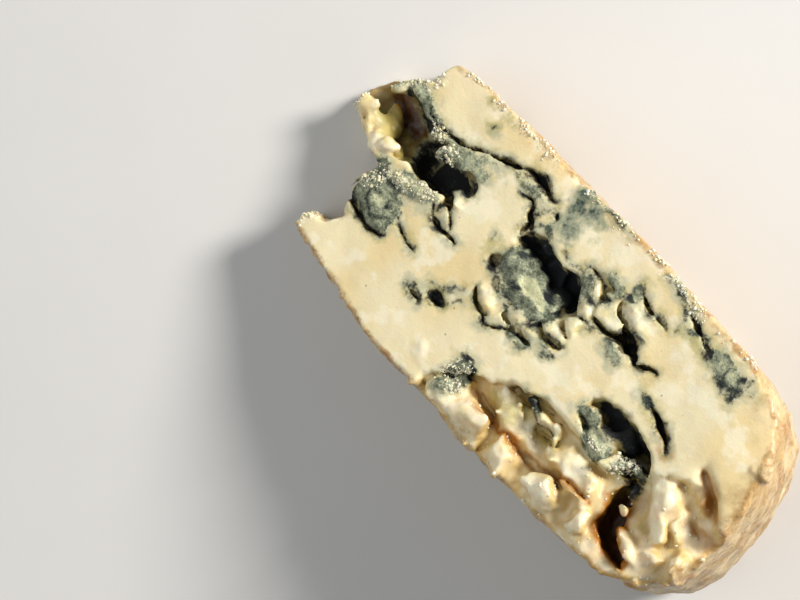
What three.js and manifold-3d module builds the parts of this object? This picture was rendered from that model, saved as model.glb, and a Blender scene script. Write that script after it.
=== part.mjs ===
// A wedge of blue-veined cheese lying on one of its two cut faces.
//
// Millimetres, +Z up. +X runs from the broken tip to the rind, +Y across the wheel's
// thickness, and the resting cut face is the plane Z = 0. The shapes are drawn with
// X = 0 near the line where the two cut faces would meet, and the finished wedge is
// then moved so that the origin is the middle of its footprint.
import * as THREE from 'three';
import { mergeVertices } from 'three/addons/utils/BufferGeometryUtils.js';
import { ImprovedNoise } from 'three/addons/math/ImprovedNoise.js';
import Module from 'manifold-3d';

// ---- driving dimensions -------------------------------------------------------
const CUT_ANGLE = THREE.MathUtils.degToRad(22); // between the two cut faces
const APEX_HEIGHT = 4; // thickness left at X = 0, where the knife strayed from the apex
const WHEEL_AXIS_X = 14; // the wheel's axis, measured from the apex
const WHEEL_HALF_HEIGHT = 26;
const WHEEL_SEGMENTS = 120; // facets round the whole wheel
const RIND_WAVE = { size: 17, height: 1.6 }; // bulges of the rind
const FACE_WAVE = { size: 13, height: 0.8 }; // unevenness of the front cut face
const LUMP_WAVE = { size: 0.55, height: 0.42 }; // roughness of a lump, as shares of its radius
const BLOCK = { length: 150, width: 80, cellsLong: 26, cellsAcross: 14 };
const SHELF_DEPTH = 3.6; // crumbled-away corner, below the front cut face
const OVERCUT = 12; // how far the cutting shapes stand clear of the surface

// Half section of the wheel: distance from its axis, position along it.
const WHEEL_SECTION = [
  [0, -19.5], [9, -20.6], [14, -22.6], [24, -24.6], [40, -26.8], [62, -26.8], [88, -26.4],
  [101, -25.4], [110, -23.4], [116, -20], [119.4, -15.5], [120.8, -9], [120.8, -2],
  [120, 4.5], [118.4, 10.5], [116.2, 15.5], [113.2, 19.6], [108.5, 22.6], [102, 24.2],
  [91, 24.8], [79, 25.3], [50, 25.6], [27, 25.8], [18, 25.2], [10, 22.8], [0, 22],
];

// The broken end seen from above: distance from the apex along the front cut face, Y.
const TIP_OUTLINE = [
  [23, -30], [23.2, -22.5], [23.7, -19], [27.5, -17.5], [30, -14.5], [28.4, -11.8],
  [26.5, -9.5], [26.3, -5.5], [27.8, -1.5], [22.8, -0.8], [17.5, 1.8], [12.8, 3.4],
  [12.2, 7.5], [14.5, 12.4], [17.8, 14.4], [20.3, 16.7], [22.5, 18.2], [22.7, 30],
];

// The crumbled corner, drawn on the front cut face.
const SHELF_OUTLINE = [
  [66, -36], [67, -19.5], [76, -15.5], [82, -11.5], [90, -9.5], [97, -9.5], [108, -10],
  [113, -7.5], [115, -3], [121, -0.5], [128, -2], [138, -4], [138, -36],
];

// Curd lumps left standing in the crumbled corner: place on the face, height of the
// middle above it, radii, turn about the face's normal.
const CURD_LUMPS = [
  { at: [73, -21.5, -4.4], radii: [5, 4.6, 3.6], turn: 20 },
  { at: [80.5, -22.5, -4.2], radii: [4.6, 3.6, 3.8], turn: -15 },
  { at: [82, -16.5, -5.2], radii: [6.6, 4.6, 3.8], turn: 30 },
  { at: [89, -20.5, -4.6], radii: [5.4, 5, 4.2], turn: 0 },
  { at: [91.5, -13.5, -5.4], radii: [5, 3.8, 3.8], turn: 25 },
  { at: [97.5, -18.5, -4.4], radii: [5, 4.2, 3.8], turn: -30 },
  { at: [101, -13.2, -5.2], radii: [6, 4, 3.8], turn: 10 },
  { at: [103.5, -22, -4.8], radii: [5, 3.2, 3.8], turn: 15 },
  { at: [108.5, -17.5, -4.8], radii: [4.8, 4.6, 3.8], turn: -20 },
  { at: [118.4, -7.4, -4], radii: [7.6, 5.8, 4.6], turn: -25, detail: 3 },
  { at: [121, -16, -4.6], radii: [5, 4.2, 4.2], turn: 30 },
  { at: [122.5, -12.5, -5.4], radii: [4.4, 4.8, 4.2], turn: 0 },
];

// Hollows, given the same way.
const HOLLOWS = [
  { at: [21.8, 7.4, -1.4], radii: [12.4, 6.4, 7], turn: -4, detail: 3 }, // at the broken tip
  { at: [37, 6.8, -4], radii: [9.4, 5, 8.6], turn: -6, detail: 3 }, // its blind end
  { at: [30, 2.6, 0], radii: [5.4, 3.4, 4.4], turn: 20 }, // the notch beside it
  { at: [24, -15.6, -5], radii: [5, 3.4, 5.4], turn: 30 }, // bites out of the broken end
  { at: [23, -6, -6], radii: [4.6, 4.2, 4.6], turn: 0 },
  { at: [18.6, 19.6, -4], radii: [4, 3.4, 5], turn: -20 },
  { at: [69.5, 6.2, -0.6], radii: [10.4, 5.4, 4.8], turn: -12, detail: 3 }, // mid face
  { at: [104.8, -3.6, -1], radii: [10, 4.6, 5.2], turn: -6, detail: 3 }, // near the rind
  { at: [57.6, -11.7, -0.4], radii: [2.8, 2, 2.8], turn: 10 },
  { at: [81.6, 14.2, 0], radii: [3.4, 2, 2.4], turn: -35 },
];

// Lumps of mould standing up in the hollows and at the broken end.
const MOULD_LUMPS = [
  { at: [31.5, -7, -1.6], radii: [5, 4.2, 2.6], turn: -20 },
  { at: [71, 3.4, -5], radii: [6.4, 3.8, 3.2], turn: -10 },
  { at: [102.5, -6.2, -4.8], radii: [4.8, 3, 3.2], turn: 0 },
];

// Open cracks: centre line on the face, widest gap, depth.
const CRACKS = [
  { width: 2.2, depth: 4, line: [[28, 14], [35, 13], [43, 16], [51, 19], [56, 20], [61, 19]] },
  { width: 1.6, depth: 3, line: [[53.5, 16], [57, 16], [58.5, 14], [60.5, 12.5]] },
  { width: 1.4, depth: 2.5, line: [[61, -5.5], [64, -6.6], [68, -6.8], [73, -5.2], [78, -4]] },
  { width: 2, depth: 4, line: [[85, 8.3], [90, 9], [93, 9.6], [97, 8.8], [100, 9.5]] },
  { width: 1.6, depth: 3, line: [[87, 19.4], [90, 17.7], [93, 16.8], [96, 17.4]] },
  { width: 1.8, depth: 3, line: [[94, 23.6], [97.5, 23.2], [101, 21.3], [104.5, 20]] },
  { width: 2.2, depth: 2.5, line: [[104.5, 20], [108, 18.7], [113.5, 17.4]] },
  { width: 2.4, depth: 4, line: [[104, 5], [107, 4.2], [110.5, 2.7], [112.5, 1]] },
  { width: 3.4, depth: 9, line: [[110, -6.5], [113.6, -12], [114, -16.5], [116.6, -20], [120, -24]] },
];

// ---- helpers ------------------------------------------------------------------
const wasm = await Module();
wasm.setup();
const noise = new ImprovedNoise();

// Front cut face as a frame: first axis up the slope, second along Y, third outward.
const faceFrame = new THREE.Matrix4()
  .makeRotationY(-CUT_ANGLE)
  .setPosition(0, 0, APEX_HEIGHT);

function toManifold(geometry) {
  const plain = geometry.clone();
  plain.deleteAttribute('normal');
  plain.deleteAttribute('uv');
  const merged = mergeVertices(plain, 1e-4);
  const index = merged.index.array;
  const triangles = [];
  for (let i = 0; i < index.length; i += 3) {
    const [a, b, c] = index.slice(i, i + 3);
    if (a !== b && b !== c && c !== a) {
      triangles.push(a, b, c);
    }
  }
  return new wasm.Manifold(new wasm.Mesh({
    numProp: 3,
    vertProperties: new Float32Array(merged.attributes.position.array),
    triVerts: new Uint32Array(triangles),
  }));
}

function toGeometry(solid) {
  const mesh = solid.getMesh();
  const geometry = new THREE.BufferGeometry();
  geometry.setAttribute('position', new THREE.BufferAttribute(mesh.vertProperties, 3));
  geometry.setIndex(new THREE.BufferAttribute(mesh.triVerts, 1));
  geometry.computeVertexNormals();
  return geometry;
}

function wave(point, { size, height }) {
  return height * noise.noise(point.x / size, point.y / size, point.z / size);
}

function eachVertex(geometry, change) {
  const position = geometry.attributes.position;
  const point = new THREE.Vector3();
  for (let i = 0; i < position.count; i += 1) {
    point.fromBufferAttribute(position, i);
    change(point);
    position.setXYZ(i, point.x, point.y, point.z);
  }
  return geometry;
}

// The whole wheel, its rind slightly bulged.
function wheel() {
  const section = WHEEL_SECTION.map(([radius, along]) => new THREE.Vector2(radius, along));
  const geometry = new THREE.LatheGeometry(section, WHEEL_SEGMENTS);
  eachVertex(geometry, (point) => {
    const radius = Math.hypot(point.x, point.z);
    const bulge = wave(point, RIND_WAVE);
    const swell = 1 + bulge / Math.max(radius, WHEEL_HALF_HEIGHT);
    point.set(point.x * swell, point.y * (1 + bulge / 2 / WHEEL_HALF_HEIGHT), point.z * swell);
  });
  return geometry.translate(WHEEL_AXIS_X, 0, 0);
}

// The space between the two cut faces, the front one slightly uneven.
function betweenCuts() {
  const { length, width, cellsLong, cellsAcross } = BLOCK;
  const geometry = new THREE.BoxGeometry(length, width, 1, cellsLong, cellsAcross, 1);
  geometry.translate(length / 2, 0, 0);
  return eachVertex(geometry, (point) => {
    const slope = APEX_HEIGHT + point.x * Math.tan(CUT_ANGLE);
    point.z = point.z > 0 ? slope + wave(point, FACE_WAVE) : 0;
  });
}

// A rough ellipsoid standing in the front cut face's frame.
function lump({ at, radii, turn, detail = 2 }) {
  const seed = at[0] + at[1] * 3; // so that no two lumps are alike
  const geometry = new THREE.IcosahedronGeometry(1, detail);
  eachVertex(geometry, (point) => {
    const { size, height } = LUMP_WAVE;
    const bump = noise.noise(point.x / size + seed, point.y / size, point.z / size - seed);
    point.multiplyScalar(1 + height * bump);
  });
  geometry.scale(...radii);
  geometry.rotateZ(THREE.MathUtils.degToRad(turn));
  geometry.translate(...at);
  return geometry.applyMatrix4(faceFrame);
}

// A prism standing through the front cut face, down to a depth.
function sunkPrism(outline, depth) {
  const shape = new THREE.Shape(outline.map(([x, y]) => new THREE.Vector2(x, y)));
  const geometry = new THREE.ExtrudeGeometry(shape, { depth: depth + OVERCUT, bevelEnabled: false });
  return geometry.translate(0, 0, -depth).applyMatrix4(faceFrame);
}

// A crack: widest in the middle of its length, closed to a point at both ends.
function crack({ line, width, depth }) {
  const path = new THREE.CatmullRomCurve3(line.map(([x, y]) => new THREE.Vector3(x, y, 0)));
  const steps = line.length * 2;
  const sides = [[], []];
  for (let i = 1; i < steps; i += 1) {
    const along = i / steps;
    const middle = path.getPoint(along);
    const heading = path.getTangent(along);
    const half = (width / 2) * (0.35 + 0.65 * Math.sin(Math.PI * along));
    sides[0].push([middle.x - heading.y * half, middle.y + heading.x * half]);
    sides[1].unshift([middle.x + heading.y * half, middle.y - heading.x * half]);
  }
  const outline = [line[0], ...sides[0], line[line.length - 1], ...sides[1]];
  return sunkPrism(outline.reverse(), depth);
}

// Everything beyond the broken end.
function brokenOff() {
  const reach = Math.cos(CUT_ANGLE);
  const edge = TIP_OUTLINE.map(([along, y]) => [along * reach, y]);
  const outline = [[-20, -30], ...edge, [-20, 30]];
  const shape = new THREE.Shape(outline.map(([x, y]) => new THREE.Vector2(x, y)));
  const geometry = new THREE.ExtrudeGeometry(shape, { depth: 60, bevelEnabled: false });
  return geometry.translate(0, 0, -10);
}

// ---- the wedge ----------------------------------------------------------------
let body = toManifold(wheel()).intersect(toManifold(betweenCuts()));
body = body.subtract(toManifold(sunkPrism(SHELF_OUTLINE, SHELF_DEPTH)));
for (const curd of CURD_LUMPS) {
  body = body.add(toManifold(lump(curd)));
}
for (const hollow of HOLLOWS) {
  body = body.subtract(toManifold(lump(hollow)));
}
for (const mould of MOULD_LUMPS) {
  body = body.add(toManifold(lump(mould)));
}
for (const gap of CRACKS) {
  body = body.subtract(toManifold(crack(gap)));
}
body = body.subtract(toManifold(brokenOff()));

const cheese = new THREE.MeshStandardMaterial({ color: 0xe9dcae, roughness: 0.55, metalness: 0 });
cheese.name = 'blue_cheese';

const shape = toGeometry(body);
shape.computeBoundingBox();
const middle = shape.boundingBox.getCenter(new THREE.Vector3());
shape.translate(-middle.x, -middle.y, 0);

const wedge = new THREE.Mesh(shape, cheese);
wedge.name = 'cheese_wedge';

const part = new THREE.Group();
part.name = 'cheese_wedge_part';
part.add(wedge);

export default part;
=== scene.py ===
"""The looks of a wedge of blue-veined cheese that lies on one of its two cut faces.

The paste, its hollows, cracks, curd lumps and rind are one closed surface: the zero level
of a signed distance that is worked out with numpy on a grid of points. Lengths are in
millimetres while the cheese is shaped, in a drawing frame whose X = 0 is near the line
where the two cut faces would meet. The meshes are moved to the frame's metres at the end.
"""

import functools
import math

import bpy
import numpy as np
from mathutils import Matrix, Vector


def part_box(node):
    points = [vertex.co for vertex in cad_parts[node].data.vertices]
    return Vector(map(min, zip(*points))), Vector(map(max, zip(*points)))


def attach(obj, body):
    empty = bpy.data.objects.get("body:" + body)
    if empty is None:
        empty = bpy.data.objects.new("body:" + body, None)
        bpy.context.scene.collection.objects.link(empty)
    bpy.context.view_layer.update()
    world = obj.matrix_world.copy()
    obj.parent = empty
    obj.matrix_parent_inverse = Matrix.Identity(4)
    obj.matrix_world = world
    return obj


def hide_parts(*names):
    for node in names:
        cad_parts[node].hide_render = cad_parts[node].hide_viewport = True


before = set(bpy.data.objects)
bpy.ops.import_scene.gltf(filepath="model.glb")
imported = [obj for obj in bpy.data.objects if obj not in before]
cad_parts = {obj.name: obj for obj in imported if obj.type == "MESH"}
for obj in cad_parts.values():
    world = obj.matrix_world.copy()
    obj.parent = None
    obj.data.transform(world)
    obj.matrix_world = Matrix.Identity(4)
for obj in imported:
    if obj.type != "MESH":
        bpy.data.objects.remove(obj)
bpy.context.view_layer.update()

# ---- sizes, in millimetres -------------------------------------------------------
MM = 0.001
CUT_ANGLE = math.radians(22)  # between the two cut faces
APEX_HEIGHT = 4.0  # thickness at X = 0
WHEEL_AXIS_X = 14.0
TIP_REACH = 11.3  # from the drawing frame's X = 0 to the end of the broken tip
SIDE_SHIFT = 0.8  # from the middle of the box to the drawing frame's Y = 0
VOXEL = 0.4  # spacing of the grid
BAND = 1.4  # thickness of the layer either side of the surface that gets worked out
FACE_DEPTH = 11.0  # how deep the hollows reach below the front cut face
TIP_END = 34  # X at which the broken tip's own roughness stops
RIND_OVERHANG = 0.8  # how far curd may stand out over the rind
GRID_LOW = (9.5, -30, -0.8)  # corners of the space that the grid covers
GRID_HIGH = (139, 29, 56)
CAMERA_PLACE = (65.35, 17.45, 432.78)
CAMERA_TURN = (-1.68, 5.09, 45.93)  # degrees about X, Y and Z
LENS = 91.8
SHELF_DEPTH = 3.4  # depth of the crumbled corner
CHIP_GAP = (0.4, 0.75, 0)  # from a chip of curd back to the gap on its lower side
LUMP_RISE = 1.3  # how far curd and mould stand above the front cut face at most
BLOCK_SIDES = 14  # planes that bound a lump of curd
BLOCK_ROUNDING = 0.42  # of its edges, as a share of its smallest radius
LATTICE = 40  # random lattice cells before the noise repeats
MAX_TRIANGLES = 190_000
CRUMBS = 1900
CRUMB_SIZE = (0.1, 0.45)  # radii of the smallest and the largest
CORNERS_APART = 1.1  # more than the edge of a twenty-sided ball of radius 1, which is 1.05
OPEN_STEPS = (0.9, 1.8, 3.6, 6.0)  # how far out a point looks to see if it is enclosed

# Half section of the wheel: distance from its axis, position along it.
WHEEL_SECTION = np.array([
    (0, -19.5), (9, -20.6), (14, -22.6), (24, -24.6), (40, -26.8), (62, -26.8), (88, -26.4),
    (101, -25.4), (110, -23.4), (116, -20), (119.4, -15.5), (120.8, -9), (120.8, -2),
    (120, 4.5), (118.4, 10.5), (116.2, 15.5), (113.2, 19.6), (108.5, 22.6), (102, 24.2),
    (91, 24.8), (79, 25.3), (50, 25.6), (27, 25.8), (18, 25.2), (10, 22.8), (0, 22),
])

# The broken end seen from above: distance along the front cut face, Y.
TIP_OUTLINE = np.array([
    (-20, -30), (23, -30), (23.2, -22.5), (23.7, -19), (27.5, -17.5), (30, -14.5),
    (28.4, -11.8), (26.5, -9.5), (26.3, -5.5), (27.8, -1.5), (22.8, -0.8), (17.5, 1.8),
    (12.8, 3.4), (12.2, 7.5), (14.5, 12.4), (17.8, 14.4), (20.3, 16.7), (22.5, 18.2),
    (22.7, 30), (-20, 30),
])

# The crumbled corner, drawn on the front cut face.
SHELF_OUTLINE = np.array([
    (69, -36), (68, -24), (71, -19), (76, -15.8), (82, -12), (90, -9.8), (97, -9),
    (108, -9.5), (112, -8), (114, -4), (118, -1.5), (123, 0.5), (127, -1), (140, -3),
    (140, -36),
])


# Every feature's place is (along the face, Y, height above the face).
# Hollows: place, radii, turn in degrees about the face's normal.
HOLLOWS = [
    ((21.8, 7.6, -1.4), (12.6, 6.2, 7.2), -4),  # the broken tip's hollow
    ((36, 6.8, -4), (9.4, 4.8, 9), -6),
    ((43.2, 8.4, -1.6), (3.4, 2.6, 4.4), 20),
    ((44.6, 3.4, -1), (1.5, 2.6, 3.6), 10),
    ((18.4, 19.8, -4), (3.6, 3, 5), -20),
    ((70.6, 6.8, -0.4), (9.4, 4.6, 4.8), -12),  # middle of the face
    ((75.8, 8.6, -1.4), (4.8, 2.6, 5.6), -35),
    ((65, 10, -1), (4.6, 2.1, 5), 20),
    ((91.8, 9.9, -1), (3.2, 1.6, 5), -6),
    ((60.8, 2.2, -0.2), (1.6, 1.3, 1.6), 20),
    ((104.6, -4.6, -1), (9.6, 4.7, 5.6), -6),  # near the rind
    ((109.8, -4.6, -2.4), (4.4, 3.6, 6.8), -20),
    ((57.6, -11.7, -0.4), (2.6, 1.7, 2.8), 10),
    ((81.6, 14, 0), (3.2, 1.4, 2.2), -35),
    ((85.6, -11.8, -3), (3.6, 1.1, 2.6), -14),  # gap under the shelf's edge
    ((93, -13.9, -3.6), (2.6, 1.2, 2.6), 8),
    ((114.6, -15, -5), (6.4, 2.4, 7), -66),  # cleft, painted with brown shade
    ((119.4, -19.4, -5), (4, 1.8, 5), -8),
]

# Soft-edged valleys: between the lobes of paste near the rind, and between lumps of curd.
# The lobes' valleys also get a painted orange-brown glow.
LOBE_VALLEYS = [
    ((125.6, 0.2, 0.8), (6, 1.9, 3), -36), ((129, -5.4, -0.6), (4.2, 1.6, 3.4), -18),
    ((116.2, -8.6, -1.2), (2.6, 1.2, 3), -50), ((120, -11.6, -0.6), (2.6, 1.3, 2.2), -50),
]
CURD_VALLEYS = [
    ((80, -19, -3), (4, 1, 2.8), -8), ((95.6, -19, -3), (6.4, 1, 2.8), 8),
    ((95, -22.8, -2.4), (1.2, 3, 2.6), 0), ((107, -21, -2.6), (1, 3, 2.4), 10),
    ((86, -23, -2.4), (1.1, 3, 2.6), -8),
]

# Chips of curd, each with a gap on its lower side: place, radii, turn.
CHIPS = [
    ((65.4, -4.2, -0.7), (3.6, 2.3, 1.4), -6), ((72.8, -2.4, -0.6), (2.4, 1.7, 1.2), 12),
    ((77, -2.5, -0.6), (2.2, 1.3, 1.1), -10), ((80.2, 0.9, -0.5), (3.9, 1.3, 1.2), -3),
    ((81.9, 4.5, -0.5), (2.6, 1.6, 1.5), -38), ((81.8, 8.6, -0.5), (2.3, 1.8, 1.2), 24),
    ((86.2, 10.4, -0.6), (4.2, 1.7, 1.3), -16), ((90.2, 13.8, -0.6), (4.6, 2, 1.4), -16),
    ((83.8, 13.6, -0.5), (1.8, 1.2, 1), 10),
    ((62.8, 13.8, -0.4), (1.9, 1.3, 1), 60),
]

# Rounded lumps that stand in the hollows.
LUMPS = [
    ((33, -7, -1.9), (6.2, 4.4, 2.9), -14),  # mould at the broken end
    ((30.2, -2.2, -1.6), (2.4, 1.8, 2.1), 20),
    ((34, -0.7, -1.3), (2.6, 1.9, 2), 12),
    ((38.4, 0.8, -1.2), (3, 2, 2), 12),
    ((41.4, 1.9, -1.3), (1.7, 1.3, 1.7), 0),
    ((18, 12.6, -1.5), (3, 1.2, 2.4), 34),  # crusty far wall of the tip
    ((22.6, 14.2, -1.4), (2.6, 1.2, 2), 10),
    ((27.4, 14.2, -1.3), (2.4, 1.1, 1.7), -16),
    ((31.2, 12, -1.6), (2.2, 1.5, 1.9), -20),
    ((36.4, 9.9, -2), (3, 2.1, 2.4), 24),
    ((39.6, 11.2, -1.4), (2.2, 1.5, 1.8), -10),
    ((66.4, 4.4, -4), (5.4, 4.4, 3.8), -24),  # mould in the middle hollow
    ((72.4, 2.4, -4), (6, 4, 3.7), 4),
    ((68.6, 0.4, -3.2), (4.4, 2.2, 2.7), 12),
    ((74.2, 5.4, -5), (3.6, 2.8, 3.2), 30),
    ((63.2, 6.2, -3), (2.8, 2, 2.4), 30),
    ((66, 11.6, -3.2), (2, 1, 2.2), 20),
    ((102.4, -7.6, -3.4), (4.4, 2.3, 3.2), -10),  # mould near the rind
    ((97.6, -4.6, -2.2), (2.6, 1.6, 2), 10),
    ((111.6, -5.6, -4), (2.2, 1.7, 2.6), 0),
]

# Blocky curd: on the crumbled corner and in the hollows.
CURDS = [
    ((15.4, 4.4, -2), (2.6, 2.2, 3.2), 30),  # lit wall of the tip
    ((18.6, 3.6, -2.8), (2.8, 2.2, 3.2), -10),
    ((22, 2.8, -2.4), (2.8, 2.2, 3), 15),
    ((20.4, 5, -5.2), (2.6, 2, 2.4), 0),
    ((25.6, 2.4, -2.8), (2.8, 2.2, 3.2), -20),
    ((44.7, 0.8, -1), (2, 1.5, 1.7), 10),
    ((45.6, 5.2, -0.9), (2, 1, 1.5), -25),
    ((101.6, -4.9, -2.8), (2, 1.4, 1.9), 0),
    ((105.8, -3, -4.6), (2.2, 1.6, 2.4), 20),
    ((107.5, -7.3, -3.2), (2.2, 1.5, 2.6), 0),
    ((109.2, -6, -3.4), (1.7, 1.2, 2.3), 30),
    ((64, -21.8, -2.4), (5.6, 3, 2.8), 4),
    ((74.4, -21, -3.8), (4.4, 4, 3.8), 10),
    ((80.6, -22.6, -4), (6.4, 4.6, 4.5), 14),
    ((89.4, -21.4, -4.3), (5.4, 4, 4.1), 6),
    ((83.4, -15.8, -5.2), (7.8, 3.6, 3.6), -15),
    ((90.6, -12.4, -2.7), (2.5, 1.5, 2), 10),
    ((94.4, -11.6, -2.5), (1.7, 1.4, 1.9), 0),
    ((87.4, -11.3, -2.1), (1.7, 1, 1.4), 20),
    ((97.6, -15.9, -3.4), (2.7, 1.5, 2.4), -28),
    ((103.6, -13, -4.4), (8.4, 3.9, 4), -14),
    ((101, -21.2, -4.2), (6, 4.2, 4.3), -4),
    ((109, -19.8, -4.6), (3.4, 3.6, 3.6), 20),
    ((109.2, -21.8, -2.4), (1.9, 1.5, 1.6), 10),
    ((110.4, -19.4, -1.8), (1.6, 1.3, 1.5), 40),
    ((108.8, -17, -2.3), (1.6, 1.3, 1.5), -20),
    ((106.2, -17.8, -2), (1.9, 1.1, 1.4), 30),
    ((114.4, -21.2, -5), (2.2, 1.8, 2.4), 15),
    ((119.8, -5.2, -4), (7.6, 4.4, 4.8), -48),  # lobes beside the cleft
    ((123, -11.2, -4.4), (4, 3.3, 4), -45),
    ((125.9, -7, -3), (2.6, 1.2, 2.4), -62),
    ((119.9, -16.8, -3.8), (4, 1.7, 2.8), -12),
    ((115.1, -12, -3), (1.9, 0.9, 1.9), -45),
    ((129.6, -11.6, -4.6), (3, 1.5, 3.2), -52),
    ((126.3, -14.9, -4.2), (3, 1.5, 2.8), 25),
    ((124, -19.4, -6), (3, 2.2, 3), 0),
    ((130.4, 11.9, -1.6), (2.2, 1.7, 2.2), 0),
]

# Open cracks: widest gap, depth, line on the face.
CRACKS = [
    (0.7, 2.6, [(26.6, 14.6), (29.6, 12.6), (32.5, 12.5), (35.6, 13), (39.4, 14.6), (43.2, 16.1),
                (48, 18)]),
    (1.8, 3.2, [(43, 16.2), (48, 18.1), (52.6, 19.4), (56.8, 19.7), (60.8, 19.2)]),
    (1.2, 3, [(53.5, 16), (57.2, 15.9), (59, 13.9), (60.8, 13), (60.6, 10)]),
    (1.2, 2.4, [(26, -7), (26.9, -9.2), (30.9, -11.5), (34.5, -12.2), (39, -10.9)]),
    (0.8, 2, [(38.6, -4.4), (39.7, -6.2), (42.5, -7.5), (46.6, -8.5)]),
    (1.1, 2.4, [(42.6, 0.6), (43.7, -0.4), (47.3, -1.1), (52.3, -1.3)]),
    (0.9, 2.4, [(46, 2.6), (47.6, 1.4), (48.6, 0.2)]),
    (0.9, 2, [(61.6, -4.6), (63, -6.4), (66, -7.4), (69, -7.2), (72.5, -5.2), (76.2, -4.1), (78.8, -4.2)]),
    (0.8, 2, [(77.6, -0.6), (81.1, -0.2), (84.6, 0.6)]),
    (1, 2.4, [(75.4, 14.8), (77.6, 15.2), (79.6, 14.4)]),
    (1.3, 4.6, [(84.4, 8), (88.4, 8.2), (91, 9.4), (94, 9.5), (97, 8.8), (101, 9.6)]),
    (1.1, 3, [(86.6, 19.4), (88.8, 18.4), (91.9, 16.9), (95.6, 17.3)]),
    (0.8, 2, [(62.2, 17.8), (63.8, 15.9)]),
    (1, 2.6, [(97, 23.2), (101, 21.3), (104.4, 20)]),
    (1.9, 3.6, [(103.6, 5.3), (107, 4.4), (110.9, 2.5), (113.6, 0.8)]),
    (0.8, 2, [(50.6, -14.2), (55.4, -15)]),
    (0.8, 4, [(77, -18.6), (80, -19.4), (85.6, -19.6), (90.6, -19.5), (94.5, -19.6), (98, -18.6),
              (101.6, -17.6), (106, -17), (109.5, -16.4)]),
    (2.6, 7, [(111.6, -6.6), (113, -10.4), (113.4, -14.6), (115, -18.4), (119, -20.2), (122.6, -20.6)]),
]


# ---- noise and distances ---------------------------------------------------------
def random_turn(rng):
    """A random rotation: the orthogonal part of a random 3 by 3 matrix."""
    return np.linalg.qr(rng.normal(size=(3, 3)))[0].astype(np.float32)


def noise(points, cell, seed):
    """Smooth noise from -1 to 1: random values on a turned cubic lattice, `cell` mm
    apart, blended between a point's eight neighbours by smoothstep weights."""
    rng = np.random.default_rng(seed)
    table = rng.uniform(-1, 1, LATTICE ** 3).astype(np.float32)
    place = points @ random_turn(rng) / np.float32(cell) + np.float32(LATTICE * 8)
    corner = np.floor(place).astype(np.int32)
    blend = place - corner
    blend = blend * blend * (3 - 2 * blend)
    low = corner % LATTICE
    high = (corner + 1) % LATTICE
    total = np.zeros(len(points), np.float32)
    for pick in range(8):
        index = np.zeros(len(points), np.int32)
        weight = np.ones(len(points), np.float32)
        for axis in range(3):
            upper = pick >> axis & 1
            index = index * LATTICE + (high if upper else low)[:, axis]
            weight *= blend[:, axis] if upper else 1 - blend[:, axis]
        total += weight * table[index]
    return total


def warp(points, cell, height, seed):
    """The points moved by three independent noises of a given height."""
    moves = [noise(points, cell, seed + axis) for axis in range(3)]
    return points + height * np.stack(moves, axis=1)


def smooth_min(a, b, blend):
    """The lower of two distances, rounded where they differ by less than `blend`."""
    share = np.maximum(blend - np.abs(a - b), 0) / blend
    return np.minimum(a, b) - share * share * blend / 4


def smooth_max(a, b, blend):
    """The higher of two distances, rounded likewise."""
    return -smooth_min(-a, -b, blend)


def smoothstep(low, high, value):
    """0 at `low`, 1 at `high`, eased between them."""
    share = np.clip((value - low) / (high - low), 0, 1)
    return share * share * (3 - 2 * share)


def segment_distance(x, y, start, end):
    """Distance from points to a line segment, and how far along it the nearest point is."""
    dx, dy = end[0] - start[0], end[1] - start[1]
    along = np.clip(((x - start[0]) * dx + (y - start[1]) * dy) / (dx * dx + dy * dy), 0, 1)
    return np.hypot(x - start[0] - along * dx, y - start[1] - along * dy), along


def outline_distance(x, y, outline):
    """Signed distance to a closed outline, negative inside: the nearest side's
    distance, with the sign from how often a ray crosses the sides."""
    distance = np.full(x.shape, np.inf, np.float32)
    inside = np.zeros(x.shape, bool)
    for start, end in zip(outline, np.roll(outline, -1, axis=0)):
        distance = np.minimum(distance, segment_distance(x, y, start, end)[0])
        if start[1] != end[1]:
            crosses = (start[1] > y) != (end[1] > y)
            meets = start[0] + (y - start[1]) * (end[0] - start[0]) / (end[1] - start[1])
            inside ^= crosses & (x < meets)
    return np.where(inside, -distance, distance)


def line_distance(x, y, line):
    """Distance to an open line, and the share of its length at the nearest point."""
    best = np.full(x.shape, np.inf, np.float32)
    share = np.zeros(x.shape, np.float32)
    steps = len(line) - 1
    for number in range(steps):
        distance, along = segment_distance(x, y, line[number], line[number + 1])
        nearer = distance < best
        best = np.where(nearer, distance, best)
        share = np.where(nearer, (number + along) / steps, share)
    return best, share


def around(points, at, turn):
    """Places measured from `at`, along axes turned by `turn` degrees about the height."""
    angle = math.radians(turn)
    x, y, z = (points - np.array(at, np.float32)).T
    return np.stack([
        x * math.cos(angle) + y * math.sin(angle),
        y * math.cos(angle) - x * math.sin(angle),
        z,
    ])


def ellipsoid_distance(points, at, radii, turn):
    """Distance to a turned ellipsoid: with q the place over the radii and g the place
    over the squared radii, |q| (|q| - 1) / |g|."""
    local = around(points, at, turn)
    size = np.array(radii, np.float32)[:, None]
    length = np.linalg.norm(local / size, axis=0)
    slope = np.linalg.norm(local / size ** 2, axis=0) + 1e-6
    return length * (length - 1) / slope


def block_distance(points, at, radii, turn):
    """Distance to an irregular block: of the random planes that bound it, the one that
    the point is furthest beyond, with the edges between them rounded."""
    local = around(points, at, turn)
    rng = np.random.default_rng(int(abs(at[0] * 10 + at[1])))
    facing = rng.normal(size=(BLOCK_SIDES, 3))
    facing /= np.linalg.norm(facing, axis=1, keepdims=True)
    distance = np.full(len(points), -np.inf, np.float32)
    edge = BLOCK_ROUNDING * min(radii)
    for normal, reach in zip(facing / np.array(radii), rng.uniform(0.8, 1, BLOCK_SIDES)):
        beyond = ((normal @ local - reach) / np.linalg.norm(normal)).astype(np.float32)
        distance = smooth_max(distance, beyond, edge) if np.isfinite(distance[0]) else beyond
    return distance


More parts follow.
